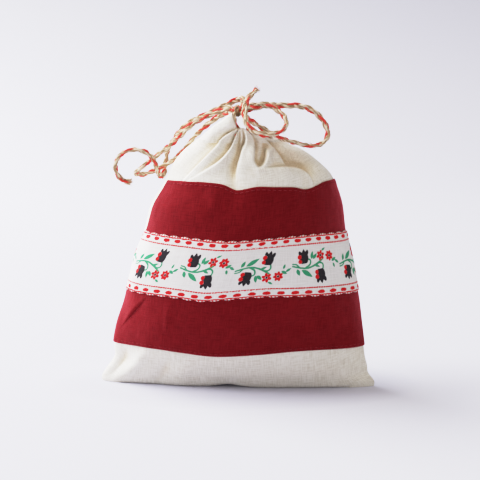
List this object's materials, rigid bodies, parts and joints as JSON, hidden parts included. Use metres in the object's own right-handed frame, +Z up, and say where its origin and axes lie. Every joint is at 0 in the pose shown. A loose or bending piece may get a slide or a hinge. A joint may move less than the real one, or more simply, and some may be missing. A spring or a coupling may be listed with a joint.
{
  "type": "drawstring gift pouch",
  "caption": "Small gathered linen gift pouch with a red band, a floral ribbon and a plaited drawstring tied in a bow.",
  "frame": {"origin": "middle of the base, on the surface that the pouch stands on", "axes": "+Z up, the decorated front faces -Y, the width runs along X"},
  "size_m": [0.1306, 0.0638, 0.1442],
  "materials": {
    "linen": "matte plain weave",
    "red_cotton": "matte plain weave",
    "woven_ribbon": "satin woven",
    "red_thread": "satin",
    "cream_thread": "satin",
    "jute_cord": "matte fibrous"
  },
  "bodies": {
    "pouch": {"front_panel": "linen", "back_panel": "linen", "red_band": "red_cotton", "floral_ribbon": "woven_ribbon", "band_top_stitch": "red_thread", "band_bottom_stitch": "red_thread", "ribbon_top_stitch": "cream_thread", "ribbon_bottom_stitch": "cream_thread", "left_seam_stitch": "cream_thread", "right_seam_stitch": "cream_thread", "bottom_seam_stitch": "cream_thread"},
    "front_lip": {"front_casing_left": "linen", "front_casing_right": "linen", "front_casing_left_stitch": "cream_thread", "front_casing_right_stitch": "cream_thread", "drawstring_front_left_run": "jute_cord", "drawstring_front_right_run": "jute_cord"},
    "back_lip": {"back_casing": "linen", "back_casing_stitch": "cream_thread", "drawstring_back_run": "jute_cord"},
    "bow": {"left_cord_leg": "jute_cord", "right_cord_leg": "jute_cord", "bow_knot": "jute_cord", "left_bow_loop": "jute_cord", "right_bow_loop": "jute_cord", "left_tail": "jute_cord", "right_tail": "jute_cord"}
  },
  "joints": [
    {"name": "mouth_opens", "type": "slide", "parent": "pouch", "child": "front_lip", "axis": [0, -1, 0], "range_m": [0, 0.004]},
    {"name": "back_lip_opens", "type": "slide", "parent": "pouch", "child": "back_lip", "axis": [0, 1, 0], "range_m": [0, 0.004]},
    {"name": "drawstring_pull", "type": "slide", "parent": "front_lip", "child": "bow", "axis": [0, 0, 1], "range_m": [0, 0.004]}
  ],
  "couplings": [
    {"joint": "back_lip_opens", "follows": "mouth_opens", "ratio": 1}
  ]
}
